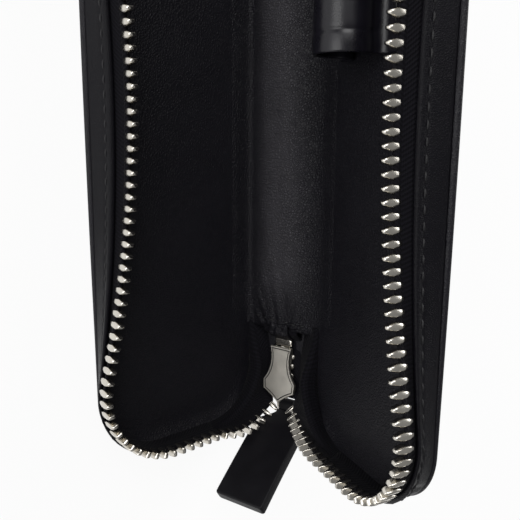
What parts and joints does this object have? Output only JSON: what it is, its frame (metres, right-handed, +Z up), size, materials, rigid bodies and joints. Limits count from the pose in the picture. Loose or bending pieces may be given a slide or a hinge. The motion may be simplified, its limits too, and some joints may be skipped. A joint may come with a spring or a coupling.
{
  "type": "fountain pen case",
  "caption": "Zip-round leather case for one pen, opened like a book, with stiff covers, a padded spine, a pen loop, metal zip teeth and a leather pull tab.",
  "frame": {"origin": "middle of the left cover's back face, which lies on the floor", "axes": "+Z up from the floor, +Y along the case towards its upper end, +X from the left half towards the spine"},
  "size_m": [0.0584, 0.1835, 0.0676],
  "materials": {
    "cover_leather": "black grained leather, satin",
    "lining_leather": "black fine-grained lining leather, soft sheen",
    "tab_leather": "smooth black leather with painted edges",
    "zip_tape": "black woven tape, matt",
    "zip_metal": "polished warm nickel",
    "slider_metal": "polished nickel on a cast body",
    "board": "stiff fibre board, hidden"
  },
  "bodies": {
    "left_half": {"left_cover": "cover_leather", "left_board": "board", "left_lining": "lining_leather", "left_wall": "cover_leather", "left_tape": "zip_tape", "left_teeth": "zip_metal", "left_top_stop": "zip_metal"},
    "spine": {"spine_cover": "cover_leather", "spine_lining": "lining_leather", "left_fold": "cover_leather", "right_fold": "cover_leather", "zip_end_tape": "zip_tape", "zip_end_teeth": "zip_metal", "bottom_stop": "zip_metal", "end_tongue": "lining_leather", "left_lead_tape": "zip_tape", "left_lead_teeth": "zip_metal", "right_lead_tape": "zip_tape", "right_lead_teeth": "zip_metal"},
    "right_half": {"right_cover": "cover_leather", "right_board": "board", "right_lining": "lining_leather", "right_wall": "cover_leather", "right_tape": "zip_tape", "right_teeth": "zip_metal", "right_top_stop": "zip_metal", "pen_loop": "lining_leather"},
    "slider": {"slider_body": "slider_metal", "slider_crown": "slider_metal"},
    "link": {"pull_link": "slider_metal"},
    "tab": {"tab_leather": "tab_leather", "tab_core": "board"}
  },
  "joints": [
    {"name": "left_fold_hinge", "type": "hinge", "parent": "left_half", "child": "spine", "pos_m": [0.023, 0, 0.0016], "axis": [0, 1, 0], "range_deg": [-15, 60], "deforming": ["left_lead_tape", "left_lead_teeth"]},
    {"name": "right_fold_hinge", "type": "hinge", "parent": "spine", "child": "right_half", "pos_m": [0.02869, 0, 0.02285], "axis": [0, 1, 0], "range_deg": [-58, 32], "deforming": ["right_lead_tape", "right_lead_teeth"]},
    {"name": "slider_run", "type": "slide", "parent": "spine", "child": "slider", "axis": [0.0926, 0.9954, -0.0248], "range_m": [-0.003, 0], "deforming": ["left_lead_tape", "left_lead_teeth", "right_lead_tape", "right_lead_teeth"]},
    {"name": "link_swing", "type": "hinge", "parent": "slider", "child": "link", "pos_m": [0.02927, -0.07279, 0.01131], "axis": [0.2588, 0, 0.9659], "range_deg": [0, 120]},
    {"name": "tab_swing", "type": "hinge", "parent": "link", "child": "tab", "pos_m": [0.02834, -0.08275, 0.01156], "axis": [0.2588, 0, 0.9659], "range_deg": [-5, 60]}
  ]
}
